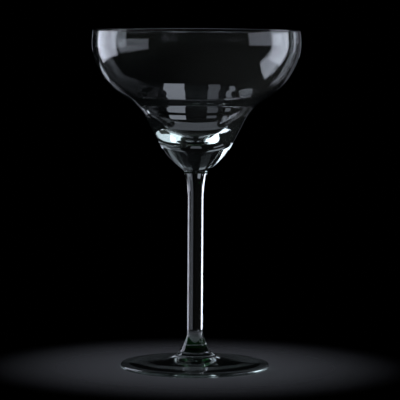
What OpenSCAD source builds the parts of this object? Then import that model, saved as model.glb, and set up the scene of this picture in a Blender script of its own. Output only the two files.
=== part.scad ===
// Margarita glass: a wide bowl over a narrow cup, on a drawn stem and a round foot.
// Three pieces of clear glass, fused face to face: foot, stem and bowl, all turned about Z.
// The origin is at the middle of the ring that the foot stands on.
// A station is [radius, height, lean]. The outline runs downwards through its stations,
// and lean is the angle in degrees by which it heads inwards there, away from straight down.

/* [Foot] */
// Diameter of the foot
foot_d = 77.6; // [64:0.2:92]
// Thickness of the foot at its round edge
foot_edge_t = 2.5; // [1.8:0.1:3.6]
// Width of the flat ring that the foot stands on
foot_land_w = 3.4; // [2:0.1:6]
// Depth of the hollow under the middle of the foot
foot_hollow = 1.8; // [0.8:0.1:2.6]
// Rise of the foot's upper side from its edge to the start of the flare
plate_rise = 2.1; // [1.2:0.1:3.4]
// Diameter at which the flare up to the hub starts
flare_d = 33; // [28:0.5:40]
// Height of the flare
flare_rise = 3; // [2:0.1:4.5]
// Diameter of the hub ledge that the stem stands on
hub_d = 18.4; // [17:0.1:20]
// Height of the ledge's round shoulder
hub_rise = 0.9; // [0.6:0.05:1.6]

/* [Stem] */
// Length of the stem between its two fused faces
stem_l = 94.6; // [70:0.2:120]
// Diameter of the shaft
shaft_d = 8; // [6:0.1:9]
// Diameter of the stem's lower end, on the foot
stem_base_d = 16; // [14:0.1:16.6]
// Height of the lower flare
stem_base_rise = 12; // [9:0.2:18]
// Diameter of the stem's upper end, under the bowl
stem_top_d = 12.8; // [10.5:0.1:14]
// Height of the upper flare
stem_top_rise = 17; // [12:0.2:22]
// Radius of the soft edges beside a fused face
seam_r = 0.35; // [0.2:0.05:0.5]

/* [Bowl heights] */
// From the stem to the side of the narrow cup
cup_rise = 13.7; // [12:0.1:17]
// From there to the waist below the shoulder
waist_rise = 13; // [10:0.1:17]
// From there to the middle of the shoulder
shoulder_rise = 12.2; // [9.5:0.1:16]
// From there to the lower side of the wide bowl
side_rise = 9.5; // [7.5:0.1:12]
// From there to the widest place
belly_rise = 17.6; // [13:0.1:23]
// From there to the top of the rim
lip_rise = 6.9; // [5.5:0.1:9]

/* [Bowl diameters] */
// Bowl's lower end, where it meets the stem
bowl_base_d = 13.2; // [12:0.1:15]
// Side of the narrow cup
cup_d = 38; // [34:0.2:42]
// Waist below the shoulder
waist_d = 51.4; // [47:0.2:56]
// Middle of the shoulder
shoulder_d = 76.4; // [70:0.2:82]
// Lower side of the wide bowl
side_d = 96.4; // [90:0.2:101]
// Widest place
belly_d = 108.2; // [104:0.2:116]
// Rim, outside
rim_d = 107.2; // [102:0.2:114]

/* [Glass thickness] */
// Wall at the rim
rim_t = 1.4; // [1:0.05:2]
// Wall at the widest place
belly_t = 1.5; // [1:0.05:2.4]
// Wall at the lower side of the wide bowl
side_t = 1.7; // [1.2:0.05:2.6]
// Wall at the shoulder
shoulder_t = 1.9; // [1.4:0.05:2.6]
// Wall at the waist
waist_t = 3.1; // [2.2:0.05:4]
// Solid glass between the stem and the lowest place of the cavity
floor_t = 14; // [10:0.1:17]

/* [Cavity of the narrow cup] */
// How far the brow, where the cavity turns down, lies inside the middle of the shoulder
brow_in = 8.7; // [7.8:0.1:9.6]
// Drop from the middle of the shoulder to the brow
brow_drop = 2.3; // [1.6:0.1:3]
// How far the throat below the brow lies inside it
throat_in = 2.9; // [2.2:0.1:3.6]
// Drop from the brow to the throat
throat_drop = 2.6; // [2:0.1:3.4]

/* [Leans] */
// Rim, where the wall draws in a little towards the opening
rim_lean = -9; // [-16:1:0]
// Lower side of the wide bowl
side_lean = 32; // [26:1:38]
// Shoulder, where the wide bowl turns into the narrow cup
shoulder_lean = 57.5; // [50:0.5:62]
// Brow of the cavity
brow_lean = 64; // [58:1:70]
// Throat of the cavity
throat_lean = 36; // [30:1:42]
// Waist
waist_lean = 27; // [20:1:34]
// Cavity at the waist
well_lean = 35; // [29:1:41]
// Side of the narrow cup
cup_lean = 29; // [24:1:36]
// Lower end of the bowl
bowl_base_lean = 55; // [46:1:62]
// Upper end of the stem
stem_top_lean = 20; // [12:1:26]
// Lower end of the stem
stem_base_lean = -27; // [-34:1:-20]
// Lower end of the foot's flare
flare_lean = -78; // [-84:1:-70]
// Top of the foot's flare
hub_lean = -40; // [-50:1:-30]

/* [Hidden] */

// Steps of one curve, and of a quarter turn of a round edge
curve_steps = 10;
quarter_steps = 6;
// Length of a curve's handles, as a share of the distance between its ends
handle_share = 0.36;
// The same at the cavity's floor, which is rounder
floor_handle_share = 0.42;
// Lean of an outline that runs level towards the axis
level_lean = 90;
round_fn = 160;

foot_edge_r = foot_edge_t / 2;
foot_land_r = foot_d / 2 - foot_edge_r;
foot_h = foot_edge_t + plate_rise + flare_rise + hub_rise;
stem_top_z = foot_h + stem_l;
cup_z = stem_top_z + cup_rise;
waist_z = cup_z + waist_rise;
shoulder_z = waist_z + shoulder_rise;
side_z = shoulder_z + side_rise;
belly_z = side_z + belly_rise;
glass_h = belly_z + lip_rise;
rim_mid = [rim_d / 2 - rim_t / 2, glass_h - rim_t / 2];

// Unit vectors along an outline that runs down with this lean, and from it into the glass
function along(lean) = [-sin(lean), -cos(lean)];
function into(lean) = [-cos(lean), sin(lean)];
function place(station) = [station[0], station[1]];

// Station on the inner side of a wall of thickness t, square to the outer station
function inner(station, t) =
    let (p = place(station) + t * into(station[2]))
    [p[0], p[1], station[2]];

// Smooth curve between two stations, without its last point
function curve(a, b, share = handle_share) =
    let (
        p0 = place(a),
        p3 = place(b),
        handle = share * norm(p3 - p0),
        p1 = p0 + handle * along(a[2]),
        p2 = p3 - handle * along(b[2])
    )
    [
        for (i = [0 : curve_steps - 1])
            let (t = i / curve_steps, u = 1 - t)
            u * u * u * p0 + 3 * u * u * t * p1 + 3 * u * t * t * p2 + t * t * t * p3
    ];

// Smooth outline through a list of stations, without its last point
function outline(stations) = [
    for (i = [0 : len(stations) - 2])
        each curve(stations[i], stations[i + 1])
];

// Round edge about a middle point, from one angle to another, ends included
function edge_arc(middle, r, from, to) =
    let (steps = max(2, round(quarter_steps * abs(to - from) / 90)))
    [
        for (i = [0 : steps])
            let (a = from + (to - from) * i / steps)
            middle + r * [cos(a), sin(a)]
    ];

module turned(points) {
    rotate_extrude($fn = round_fn)
        polygon(points);
}

module foot() {
    land_inner_r = foot_land_r - foot_land_w;
    edge_mid = [foot_land_r, foot_edge_r];
    flare_start = [flare_d / 2, foot_edge_t + plate_rise, flare_lean];
    flare_top = [hub_d / 2, foot_edge_t + plate_rise + flare_rise, hub_lean];
    fused_r = stem_base_d / 2 - seam_r;
    plate_lean = -atan2(foot_land_r - flare_start[0], plate_rise);
    color([0.78, 0.88, 0.84, 0.55])
        turned(concat(
            [[0, foot_h]],
            curve([fused_r, foot_h, -level_lean], flare_top),
            curve(flare_top, flare_start),
            curve(flare_start, [foot_land_r, foot_edge_t, plate_lean]),
            edge_arc(edge_mid, foot_edge_r, 90, -90),
            [[land_inner_r, 0]],
            curve([land_inner_r, 0, level_lean], [0, foot_hollow, level_lean]),
            [[0, foot_hollow]]
        ));
}

module stem() {
    shaft_r = shaft_d / 2;
    top_mid = [stem_top_d / 2 - seam_r, stem_top_z - seam_r];
    base_mid = [stem_base_d / 2 - seam_r, foot_h + seam_r];
    top_edge = edge_arc(top_mid, seam_r, 90, -stem_top_lean);
    base_edge = edge_arc(base_mid, seam_r, -stem_base_lean, -90);
    top_start = top_edge[len(top_edge) - 1];
    color([0.78, 0.88, 0.84, 0.55])
        turned(concat(
            [[0, stem_top_z]],
            top_edge,
            curve([top_start[0], top_start[1], stem_top_lean], [shaft_r, stem_top_z - stem_top_rise, 0]),
            curve([shaft_r, foot_h + stem_base_rise, 0], [base_edge[0][0], base_edge[0][1], stem_base_lean]),
            base_edge,
            [[0, foot_h]]
        ));
}

module bowl() {
    rim_edge = edge_arc(rim_mid, rim_t / 2, 180 - rim_lean, -rim_lean);
    rim_start = rim_edge[len(rim_edge) - 1];
    rim = [rim_start[0], rim_start[1], rim_lean];
    belly = [belly_d / 2, belly_z, 0];
    side = [side_d / 2, side_z, side_lean];
    shoulder = [shoulder_d / 2, shoulder_z, shoulder_lean];
    waist = [waist_d / 2, waist_z, waist_lean];
    cup = [cup_d / 2, cup_z, cup_lean];
    base_mid = [bowl_base_d / 2 - seam_r, stem_top_z + seam_r];
    base_edge = edge_arc(base_mid, seam_r, -bowl_base_lean, -90);
    base = [base_edge[0][0], base_edge[0][1], bowl_base_lean];
    brow = [shoulder[0] - brow_in, shoulder_z - brow_drop, brow_lean];
    throat = [brow[0] - throat_in, brow[1] - throat_drop, throat_lean];
    waist_in = inner(waist, waist_t);
    well = [waist_in[0], waist_in[1], well_lean];
    cavity = concat(
        outline([
            inner(rim, rim_t),
            inner(belly, belly_t),
            inner(side, side_t),
            inner(shoulder, shoulder_t),
            brow,
            throat,
            well
        ]),
        curve(well, [0, stem_top_z + floor_t, level_lean], floor_handle_share),
        [[0, stem_top_z + floor_t]]
    );
    color([0.78, 0.88, 0.84, 0.55])
        turned(concat(
            rim_edge,
            [for (i = [1 : curve_steps - 1]) curve(rim, belly)[i]],
            outline([belly, side, shoulder, waist, cup, base]),
            base_edge,
            [[0, stem_top_z]],
            [for (i = [len(cavity) - 1 : -1 : 1]) cavity[i]]
        ));
}

foot();
stem();
bowl();
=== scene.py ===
import math

import bpy
from mathutils import Matrix, Vector


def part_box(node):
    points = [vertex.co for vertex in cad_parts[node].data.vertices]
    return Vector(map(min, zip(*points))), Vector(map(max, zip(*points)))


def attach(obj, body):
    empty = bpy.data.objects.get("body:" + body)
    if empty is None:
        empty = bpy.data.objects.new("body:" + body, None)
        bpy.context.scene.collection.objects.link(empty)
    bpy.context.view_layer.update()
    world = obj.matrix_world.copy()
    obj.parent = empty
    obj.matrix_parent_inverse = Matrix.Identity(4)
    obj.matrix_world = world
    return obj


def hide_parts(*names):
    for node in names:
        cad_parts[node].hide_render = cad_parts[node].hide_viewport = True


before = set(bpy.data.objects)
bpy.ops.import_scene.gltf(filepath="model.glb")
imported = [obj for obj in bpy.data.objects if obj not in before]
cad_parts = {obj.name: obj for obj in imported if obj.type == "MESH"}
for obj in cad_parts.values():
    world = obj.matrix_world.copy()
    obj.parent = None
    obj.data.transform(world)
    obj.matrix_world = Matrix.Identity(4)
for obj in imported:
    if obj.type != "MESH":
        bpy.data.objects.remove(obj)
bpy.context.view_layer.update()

# A clear margarita glass: its foot, stem and bowl as fine glass meshes in place of the packed
# solids, with a round floor, and the lamps and the camera of the photograph.

# Lengths are in metres, and a value times MM was given in millimetres. Angles among these values
# are in degrees. Each piece is an outline in (radius, height), turned about Z. A station of an
# outline is (radius, height, lean). The outline runs downwards through its stations, and lean is
# the angle by which it heads inwards there, away from straight down. UP and DOWN are where a round
# edge points straight up and straight down.
MM = 0.001
LEVEL_LEAN = 90
UP, DOWN = 90, -90
QUARTER_TURN, HALF_TURN = 90, 180

# The photograph, and where its camera stood
PHOTO_PX = 400
FOCAL_PX = 2580
SENSOR_WIDTH_MM = 36.0
CAMERA_DISTANCE = 1.336
CAMERA_HEIGHT = 0.198
CAMERA_DOWN = 4.72
CAMERA_ROLL = 0.33
CAMERA_CLIP = 0.05
GLASS_LEFT_OF_CENTRE_PX = 4.3

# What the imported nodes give: the foot's radius and the height of each piece's top
FOOT_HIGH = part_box("foot")[1]
FOOT_R = FOOT_HIGH[0]
FOOT_TOP = FOOT_HIGH[2]
STEM_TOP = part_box("stem")[1][2]
GLASS_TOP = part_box("bowl")[1][2]

# The foot: its round edge, the ring it stands on, the hollow, the plate, the flare and the hub
EDGE_R = 1.25 * MM
LAND_WIDTH = 3.4 * MM
HOLLOW = 1.8 * MM
PLATE_RISE = 2.1 * MM
FLARE_RISE = 3.0 * MM
FLARE_R, FLARE_LEAN = 16.5 * MM, -78
HUB_R, HUB_LEAN = 9.2 * MM, -40

# The stem, and the soft edges beside a fused face
SHAFT_R = 4.0 * MM
STEM_BASE_RISE, STEM_BASE_R, STEM_BASE_LEAN = 12.0 * MM, 8.0 * MM, -27
STEM_TOP_RISE, STEM_TOP_R, STEM_TOP_LEAN = 17.0 * MM, 6.4 * MM, 20
SEAM_R = 0.35 * MM

# The bowl: how far each station is above the one before, and its radius, lean and wall
CUP_RISE, CUP_R, CUP_LEAN = 13.7 * MM, 19.0 * MM, 29
WAIST_RISE, WAIST_R, WAIST_LEAN, WAIST_WALL = 13.0 * MM, 25.7 * MM, 27, 3.1 * MM
SHOULDER_RISE, SHOULDER_R, SHOULDER_LEAN, SHOULDER_WALL = 12.2 * MM, 38.2 * MM, 57.5, 1.9 * MM
SIDE_RISE, SIDE_R, SIDE_LEAN, SIDE_WALL = 9.5 * MM, 48.2 * MM, 32, 1.7 * MM
BELLY_RISE, BELLY_R, BELLY_LEAN, BELLY_WALL = 17.6 * MM, 54.1 * MM, 0, 1.5 * MM
RIM_R, RIM_LEAN, RIM_WALL = 53.6 * MM, -9, 1.4 * MM
BOWL_BASE_R, BOWL_BASE_LEAN = 6.6 * MM, 55

# The cavity of the narrow cup: the brow where it turns down, the throat below, and its floor
BROW_IN, BROW_DROP, BROW_LEAN = 8.7 * MM, 2.3 * MM, 64
THROAT_IN, THROAT_DROP, THROAT_LEAN = 2.9 * MM, 2.6 * MM, 36
WELL_LEAN = 35
FLOOR_GLASS = 14.0 * MM

# Curves: length of their handles as a share of the distance between their ends, and the steps
# of one curve, of a quarter turn of a round edge and of the way round the glass. A ring that is
# narrower than AXIS_R is a point on the axis.
HANDLE_SHARE = 0.36
FLOOR_HANDLE_SHARE = 0.42
CURVE_STEPS = 28
QUARTER_STEPS = 6
FEWEST_ARC_STEPS = 3
AROUND = 256
AXIS_R = 1e-9

# Slight unevenness of hand-worked glass: how far a surface comes towards the axis at most. Each
# wave has a count round the glass, a share of that depth, and how fast it wanders with height.
# WAVE_START, in radians, turns the waves against each other.
OUTER_WAVE = 0.02 * MM
INNER_WAVE = 0.05 * MM
WAVES = ((2, 0.5, 40), (3, 0.3, 95), (5, 0.2, 170))
WAVE_START = 10

# Clear, slightly green glass: its surface, its shadow, and the colour that it has inside
GLASS_COLOUR = (0.97, 0.985, 0.975, 1)
GLASS_TRANSMISSION = 0.997
GLASS_IOR = 1.52
SHADOW_COLOUR = (0.9, 0.93, 0.91, 1)
TINT_COLOUR = (0.72, 0.93, 0.82, 1)
TINT_DENSITY = 12

# Faint smudges: size and detail of the noise, its values between which they set in, and their
# roughness. The ripple that bends reflections is a noise of its own.
SMUDGE_SCALE, SMUDGE_DETAIL = 28, 3
SMUDGE_LOW, SMUDGE_HIGH, SMUDGE_ROUGHNESS = 0.45, 0.8, 0.05
RIPPLE_SCALE, RIPPLE_DETAIL = 55, 1
RIPPLE_STRENGTH, RIPPLE_DEPTH = 0.06, 1 * MM

# The floor: a plain grey round board with a painted pool of light. It turns clear between two
# radii, so that it looks lit near the glass and dark further out
FLOOR_R = 0.13
FLOOR_SIDES = 192
FLOOR_COLOUR = (0.25, 0.25, 0.25, 1)
FLOOR_ROUGHNESS = 0.9
PAINTED_POOL_START = 0.035
PAINTED_POOL_END = 0.118

# The lamps. A bearing goes round the glass from the camera's side to the right, so that 180 is
# straight behind, and a rise goes up, as the middle of the bowl sees them. Each lamp has the
# bearings and the rises of its edges, its radiance, which is how bright its face looks, and its
# distance from the axis.
BOWL_MIDDLE = 0.14
FAR = 1.7
NEAR = 0.17
CLOSE = 0.065
LAMP_COLOUR = (0.92, 0.97, 1.16)
LAMPS = (
    # Large boxes, for the light patches of the bowl and the cup, and the stem's two lines
    ("left_box", (-99, -137.5), (-17, 38), 2.0, FAR),
    ("right_box", (59, 106), (-1, 20), 0.9, FAR),
    ("low_right_box", (92, 120), (-25, 10), 1.25, FAR),
    # Dim cards, for the grey bands of the bowl and the stem, and a strip for the left outline
    ("back_right_card", (150, 167), (-14, 40), 0.05, FAR),
    ("high_right_card", (134, 150), (0, 45), 0.16, FAR),
    ("left_edge_strip", (-156, -166), (-22, -15), 0.14, FAR),
    # Strips near the glass, for thin lines along the left shoulder and below the rim
    ("left_shoulder_strip", (-136, -146), (-13, -5.5), 0.4, NEAR),
    ("left_rim_strip", (-151, -154), (6, 13), 0.45, NEAR),
    ("right_rim_strip", (151, 154), (4, 13), 0.36, NEAR),
    # Cards close behind the narrow cup, for its grey patches
    ("left_neck_card", (-163.6, -174), (-22.5, 0.3), 0.21, CLOSE),
    ("right_neck_card", (168, 174), (-16, -0.5), 0.06, CLOSE),
    ("right_neck_edge", (160.5, 163.5), (-24, -4), 0.13, CLOSE),
    # Low behind the glass, for the lines of the rim
    ("low_back_box", (175.5, 184.5), (-40, -22), 0.07, FAR),
)

# A dim fill all round: where it is brightest, how bright it is there, and the cosine of the
# angle from there at which it has faded to black
FILL_BEARING, FILL_RISE = 62, -30
FILL_RADIANCE = 0.045
FILL_END = -0.1
FILL_COLOUR = (0.95, 1.0, 0.98, 1)

# Numbers of a piece's materials: open glass, and the inside of a fused seam
GLASS, FUSED = 0, 1


def along(lean):
    """Unit direction in (radius, height) of an outline that runs down and leans inwards."""
    a = math.radians(lean)
    return Vector((-math.sin(a), -math.cos(a)))


def into(lean):
    """Unit direction from such an outline into the glass."""
    a = math.radians(lean)
    return Vector((-math.cos(a), math.sin(a)))


def inner(station, wall):
    """Station on the inner side of a wall, square to the outer station."""
    r, z, lean = station
    p = Vector((r, z)) + wall * into(lean)
    return p[0], p[1], lean


def curve(a, b, share=HANDLE_SHARE):
    """Points of a smooth curve between two stations, both ends included."""
    p0, p3 = Vector(a[:2]), Vector(b[:2])
    handle = share * (p3 - p0).length
    p1 = p0 + handle * along(a[2])
    p2 = p3 - handle * along(b[2])
    points = []
    for i in range(CURVE_STEPS + 1):
        t = i / CURVE_STEPS
        u = 1 - t
        points.append(u ** 3 * p0 + 3 * u * u * t * p1 + 3 * u * t * t * p2 + t ** 3 * p3)
    return points


def outline(stations):
    """Points of a smooth outline through stations, both ends included."""
    points = []
    for a, b in zip(stations, stations[1:]):
        points += curve(a, b)[:-1]
    return points + [Vector(stations[-1][:2])]


def arc(middle, r, start, end):
    """Points of a round edge from one angle to another, both ends included."""
    steps = max(FEWEST_ARC_STEPS, round(QUARTER_STEPS * abs(end - start) / QUARTER_TURN))
    points = []
    for i in range(steps + 1):
        a = math.radians(start + (end - start) * i / steps)
        points.append(Vector(middle) + r * Vector((math.cos(a), math.sin(a))))
    return points


def flat(*places):
    """Points of a straight run."""
    return [Vector(p) for p in places]


def wave(angle, height):
    """Slow unevenness between 0 and 1, at an angle in radians round the axis and a height."""
    total = 0
    for count, share, wander in WAVES:
        bend = math.sin(wander * height + WAVE_START)
        total += share * math.sin(count * angle + WAVE_START * count + bend)
    return (1 + total) / 2


def lathe(name, runs):
    """A closed turned mesh. The runs go from axis to axis, with the outside downwards, and each
    starts where the last one ends. A run is (points, depth of its waves, material's number)."""
    rings = []
    kinds = []
    # From the bottom up, so that the faces look outwards
    for points, depth, kind in reversed(runs):
        upwards = points[::-1]
        if rings:
            upwards = upwards[1:]
        for r, z in upwards:
            if rings:
                kinds.append(kind)
            rings.append((r, z, depth))
    verts = []
    index = []
    for r, z, depth in rings:
        if r < AXIS_R:
            index.append([len(verts)] * AROUND)
            verts.append((0, 0, z))
            continue
        index.append(list(range(len(verts), len(verts) + AROUND)))
        for j in range(AROUND):
            a = 2 * math.pi * j / AROUND
            here = r - depth * wave(a, z)
            verts.append((here * math.cos(a), here * math.sin(a), z))
    faces = []
    slots = []
    for low, high, kind in zip(index, index[1:], kinds):
        for j in range(AROUND):
            k = (j + 1) % AROUND
            # Beside the axis two of the corners are the same point
            faces.append(list(dict.fromkeys((low[j], low[k], high[k], high[j]))))
            slots.append(kind)
    mesh = bpy.data.meshes.new(name)
    mesh.from_pydata(verts, [], faces)
    mesh.polygons.foreach_set("material_index", slots)
    mesh.polygons.foreach_set("use_smooth", [True] * len(faces))
    mesh.update()
    piece = bpy.data.objects.new(name, mesh)
    bpy.context.scene.collection.objects.link(piece)
    return piece


def foot_piece():
    """The foot: upper side from the fused face outwards, round edge, standing ring and hollow."""
    land_r = FOOT_R - EDGE_R
    plate_top = 2 * EDGE_R
    flare_start = (FLARE_R, plate_top + PLATE_RISE, FLARE_LEAN)
    flare_top = (HUB_R, plate_top + PLATE_RISE + FLARE_RISE, HUB_LEAN)
    fused_r = STEM_BASE_R - SEAM_R
    plate_lean = -math.degrees(math.atan2(land_r - FLARE_R, PLATE_RISE))
    upper = outline([
        (fused_r, FOOT_TOP, -LEVEL_LEAN),
        flare_top,
        flare_start,
        (land_r, plate_top, plate_lean),
    ])
    edge = arc((land_r, EDGE_R), EDGE_R, UP, DOWN)
    land = flat((land_r, 0), (land_r - LAND_WIDTH, 0))
    hollow = curve((land_r - LAND_WIDTH, 0, LEVEL_LEAN), (0, HOLLOW, LEVEL_LEAN))
    return lathe("pressed_foot", [
        (flat((0, FOOT_TOP), (fused_r, FOOT_TOP)), 0, FUSED),
        (upper, 0, GLASS),
        (edge, 0, GLASS),
        (land, 0, GLASS),
        (hollow, 0, GLASS),
    ])


def stem_piece():
    """The stem: a straight shaft that flares at both ends, with a fused face on each."""
    top_edge = arc((STEM_TOP_R - SEAM_R, STEM_TOP - SEAM_R), SEAM_R, UP, -STEM_TOP_LEAN)
    base_edge = arc((STEM_BASE_R - SEAM_R, FOOT_TOP + SEAM_R), SEAM_R, -STEM_BASE_LEAN, DOWN)
    neck = curve((*top_edge[-1], STEM_TOP_LEAN), (SHAFT_R, STEM_TOP - STEM_TOP_RISE, 0))
    ankle = curve((SHAFT_R, FOOT_TOP + STEM_BASE_RISE, 0), (*base_edge[0], STEM_BASE_LEAN))
    return lathe("drawn_stem", [
        (flat((0, STEM_TOP), top_edge[0]), 0, FUSED),
        (top_edge, 0, GLASS),
        (neck, 0, GLASS),
        (flat(neck[-1], ankle[0]), 0, GLASS),
        (ankle, 0, GLASS),
        (base_edge, 0, GLASS),
        (flat(base_edge[-1], (0, FOOT_TOP)), 0, FUSED),
    ])


def bowl_piece():
    """The bowl: its cavity, round rim and outside, and the face that is fused to the stem."""
    cup = (CUP_R, STEM_TOP + CUP_RISE, CUP_LEAN)
    waist = (WAIST_R, cup[1] + WAIST_RISE, WAIST_LEAN)
    shoulder = (SHOULDER_R, waist[1] + SHOULDER_RISE, SHOULDER_LEAN)
    side = (SIDE_R, shoulder[1] + SIDE_RISE, SIDE_LEAN)
    belly = (BELLY_R, side[1] + BELLY_RISE, BELLY_LEAN)
    rim_mid = (RIM_R - RIM_WALL / 2, GLASS_TOP - RIM_WALL / 2)
    rim_edge = arc(rim_mid, RIM_WALL / 2, HALF_TURN - RIM_LEAN, -RIM_LEAN)
    rim = (*rim_edge[-1], RIM_LEAN)
    base_edge = arc((BOWL_BASE_R - SEAM_R, STEM_TOP + SEAM_R), SEAM_R, -BOWL_BASE_LEAN, DOWN)
    base = (*base_edge[0], BOWL_BASE_LEAN)
    brow = (shoulder[0] - BROW_IN, shoulder[1] - BROW_DROP, BROW_LEAN)
    throat = (brow[0] - THROAT_IN, brow[1] - THROAT_DROP, THROAT_LEAN)
    well = (*inner(waist, WAIST_WALL)[:2], WELL_LEAN)
    cavity = outline([
        inner(rim, RIM_WALL),
        inner(belly, BELLY_WALL),
        inner(side, SIDE_WALL),
        inner(shoulder, SHOULDER_WALL),
        brow,
        throat,
        well,
    ])
    cavity += curve(well, (0, STEM_TOP + FLOOR_GLASS, LEVEL_LEAN), FLOOR_HANDLE_SHARE)[1:]
    fused_r = STEM_TOP_R - SEAM_R
    return lathe("blown_bowl", [
        (cavity[::-1], INNER_WAVE, GLASS),
        (rim_edge, 0, GLASS),
        (outline([rim, belly, side, shoulder, waist, cup, base]), OUTER_WAVE, GLASS),
        (base_edge, 0, GLASS),
        (flat(base_edge[-1], (fused_r, STEM_TOP)), 0, GLASS),
        (flat((fused_r, STEM_TOP), (0, STEM_TOP)), 0, FUSED),
    ])


class Nodes:
    """Short calls for building a tree of shader nodes."""

    def __init__(self, tree):
        self.tree = tree

    def add(self, kind, values=None, **settings):
        """A new node with its settings, and with values at its inputs, by name or number."""
        node = self.tree.nodes.new("ShaderNode" + kind)
        for key, value in settings.items():
            setattr(node, key, value)
        for key, value in (values or {}).items():
            node.inputs[key].default_value = value
        return node

    def link(self, source, target):
        """Lead an output to an input."""
        self.tree.links.new(source, target)

    def mix(self, share, first, second):
        """Output that is the first shader where share is 0, and the second where it is 1."""
        node = self.add("MixShader")
        for source, target in zip((share, first, second), node.inputs):
            self.link(source, target)
        return node.outputs["Shader"]


def new_material(name):
    """An empty material with the calls for building its nodes."""
    material = bpy.data.materials.new(name)
    material.use_nodes = True
    material.node_tree.nodes.clear()
    return material, Nodes(material.node_tree)


def add_tint(n, out):
    """The colour that light takes on inside the glass."""
    tint = n.add("VolumeAbsorption", {"Color": TINT_COLOUR, "Density": TINT_DENSITY})
    n.link(tint.outputs["Volume"], out.inputs["Volume"])


def clear_glass():
    """Clear glass with faint smudges, a slight ripple and a light shadow."""
    material, n = new_material("clear_glass")
    out = n.add("OutputMaterial")
    glass = n.add("BsdfPrincipled", {
        "Base Color": GLASS_COLOUR,
        "Transmission Weight": GLASS_TRANSMISSION,
        "IOR": GLASS_IOR,
    })
    place = n.add("TexCoord").outputs["Object"]
    smudge = n.add("TexNoise", {"Scale": SMUDGE_SCALE, "Detail": SMUDGE_DETAIL})
    rough = n.add("MapRange", {
        "From Min": SMUDGE_LOW,
        "From Max": SMUDGE_HIGH,
        "To Max": SMUDGE_ROUGHNESS,
    })
    n.link(place, smudge.inputs["Vector"])
    n.link(smudge.outputs["Fac"], rough.inputs["Value"])
    n.link(rough.outputs["Result"], glass.inputs["Roughness"])
    ripple = n.add("TexNoise", {"Scale": RIPPLE_SCALE, "Detail": RIPPLE_DETAIL})
    bump = n.add("Bump", {"Strength": RIPPLE_STRENGTH, "Distance": RIPPLE_DEPTH})
    n.link(place, ripple.inputs["Vector"])
    n.link(ripple.outputs["Fac"], bump.inputs["Height"])
    n.link(bump.outputs["Normal"], glass.inputs["Normal"])
    in_shadow = n.add("LightPath").outputs["Is Shadow Ray"]
    shadow = n.add("BsdfTransparent", {"Color": SHADOW_COLOUR})
    n.link(n.mix(in_shadow, glass.outputs["BSDF"], shadow.outputs["BSDF"]), out.inputs["Surface"])
    add_tint(n, out)
    return material


def fused_glass():
    """The inside of a fused seam, where there is no surface to see."""
    material, n = new_material("fused_seam")
    out = n.add("OutputMaterial")
    n.link(n.add("BsdfTransparent").outputs["BSDF"], out.inputs["Surface"])
    add_tint(n, out)
    return material


def floor_material():
    """A matt board with a painted pool of light: it turns clear towards its rim, so that it fades
    into the dark behind it.
    """
    material, n = new_material("floor_with_painted_pool")
    out = n.add("OutputMaterial")
    board = n.add("BsdfPrincipled", {
        "Base Color": FLOOR_COLOUR,
        "Roughness": FLOOR_ROUGHNESS,
        "Specular IOR Level": 0,
    })
    gone = n.add("BsdfTransparent")
    reach = n.add("VectorMath", operation="LENGTH")
    # Painted pool of light: the board fades to clear away from the middle, as if a lamp lit only
    # the ground near the glass
    painted_pool = n.add(
        "MapRange",
        {"From Min": PAINTED_POOL_START, "From Max": PAINTED_POOL_END},
        interpolation_type="SMOOTHSTEP",
    )
    n.link(n.add("TexCoord").outputs["Object"], reach.inputs[0])
    n.link(reach.outputs["Value"], painted_pool.inputs["Value"])
    painted_pool_surface = n.mix(painted_pool.outputs["Result"], board.outputs["BSDF"], gone.outputs["BSDF"])
    n.link(painted_pool_surface, out.inputs["Surface"])
    return material


def floor_with_painted_pool():
    """The round board that the glass stands on."""
    ring = []
    for j in range(FLOOR_SIDES):
        a = 2 * math.pi * j / FLOOR_SIDES
        ring.append((FLOOR_R * math.cos(a), FLOOR_R * math.sin(a), 0))
    mesh = bpy.data.meshes.new("floor")
    mesh.from_pydata(ring, [], [list(range(FLOOR_SIDES))])
    mesh.materials.append(floor_material())
    floor = bpy.data.objects.new("floor", mesh)
    bpy.context.scene.collection.objects.link(floor)


def direction(bearing):
    """Level unit vector from the axis at a bearing."""
    b = math.radians(bearing)
    return Vector((math.sin(b), -math.cos(b), 0))


def softbox(name, bearings, rises, radiance, distance):
    """An upright rectangular lamp that faces the axis and isn't seen by the camera itself."""
    middle = sum(bearings) / 2
    half = math.radians(abs(bearings[1] - bearings[0]) / 2)
    low, high = (distance * math.tan(math.radians(rise)) for rise in rises)
    width, height = 2 * distance * math.tan(half), high - low
    lamp = bpy.data.lights.new(name, "AREA")
    lamp.shape = "RECTANGLE"
    lamp.size = width
    lamp.size_y = height
    # A lamp's power is its radiance times pi times its area
    lamp.energy = radiance * math.pi * width * height
    lamp.color = LAMP_COLOUR
    ob = bpy.data.objects.new(name, lamp)
    ob.location = distance * direction(middle) + Vector((0, 0, BOWL_MIDDLE + (low + high) / 2))
    ob.rotation_euler = (-direction(middle)).to_track_quat("-Z", "Y").to_euler()
    ob.visible_camera = False
    bpy.context.scene.collection.objects.link(ob)


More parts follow.
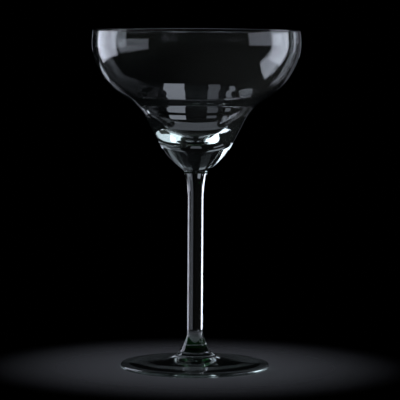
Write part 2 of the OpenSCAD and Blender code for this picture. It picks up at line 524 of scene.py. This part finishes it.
def fill_world():
    """A dim fill from low at the front right that fades to black round the other side."""
    world = bpy.data.worlds.new("studio")
    world.use_nodes = True
    n = Nodes(world.node_tree)
    rise = math.radians(FILL_RISE)
    brightest = math.cos(rise) * direction(FILL_BEARING) + Vector((0, 0, math.sin(rise)))
    aim = n.add("VectorMath", {1: brightest}, operation="DOT_PRODUCT")
    fill = n.add(
        "MapRange",
        {"From Min": FILL_END, "To Max": FILL_RADIANCE},
        interpolation_type="SMOOTHSTEP",
    )
    background = world.node_tree.nodes["Background"]
    background.inputs["Color"].default_value = FILL_COLOUR
    n.link(n.add("TexCoord").outputs["Generated"], aim.inputs[0])
    n.link(aim.outputs["Value"], fill.inputs["Value"])
    n.link(fill.outputs["Result"], background.inputs["Strength"])
    bpy.context.scene.world = world


def photo_camera():
    """The camera at the photograph's angle, which has the glass a little left of its middle."""
    data = bpy.data.cameras.new("photo_camera")
    data.sensor_width = SENSOR_WIDTH_MM
    data.lens = SENSOR_WIDTH_MM * FOCAL_PX / PHOTO_PX
    data.clip_start = CAMERA_CLIP
    camera = bpy.data.objects.new("photo_camera", data)
    camera.location = (0, -CAMERA_DISTANCE, CAMERA_HEIGHT)
    aside = math.atan2(GLASS_LEFT_OF_CENTRE_PX, FOCAL_PX)
    look = Vector((math.sin(aside), math.cos(aside), -math.tan(math.radians(CAMERA_DOWN))))
    roll = Matrix.Rotation(math.radians(CAMERA_ROLL), 3, "Z")
    camera.rotation_euler = (look.to_track_quat("-Z", "Y").to_matrix() @ roll).to_euler()
    bpy.context.scene.collection.objects.link(camera)
    bpy.context.scene.camera = camera


def dress(piece, node, materials):
    """Give a piece its materials, hang it from the root body, and hide the node that it stands
    for.
    """
    for material in materials:
        piece.data.materials.append(material)
    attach(piece, "root")
    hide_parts(node)


photo_camera()
for lamp_values in LAMPS:
    softbox(*lamp_values)
fill_world()
floor_with_painted_pool()
glass_materials = [clear_glass(), fused_glass()]
dress(foot_piece(), "foot", glass_materials)
dress(stem_piece(), "stem", glass_materials)
dress(bowl_piece(), "bowl", glass_materials)
bpy.context.scene.view_settings.view_transform = "Standard"
